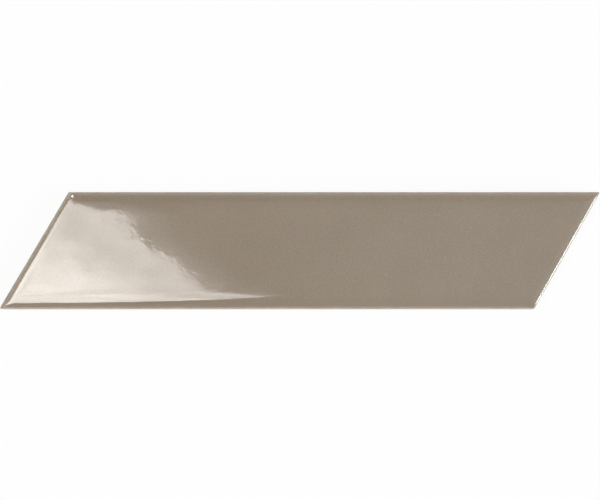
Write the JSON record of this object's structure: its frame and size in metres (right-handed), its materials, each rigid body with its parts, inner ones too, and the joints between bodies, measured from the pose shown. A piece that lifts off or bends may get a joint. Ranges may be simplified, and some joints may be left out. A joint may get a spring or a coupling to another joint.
{
  "type": "wall tile",
  "caption": "Chevron wall tile: a leaning parallelogram of gloss-glazed ceramic with soft cushioned edges and a keyed back, laid in zigzag rows with tiles of the other hand.",
  "frame": {"origin": "middle of the back, in the plane of its ribs", "axes": "+X along the long edges, +Y across them, +Z out of the glazed face. Seen from above the face, the ends lean towards +X as they go to +Y."},
  "size_m": [0.2584, 0.0506, 0.0085],
  "materials": {
    "glaze": "gloss"
  },
  "bodies": {
    "root": {"tile": "glaze"}
  },
  "joints": []
}
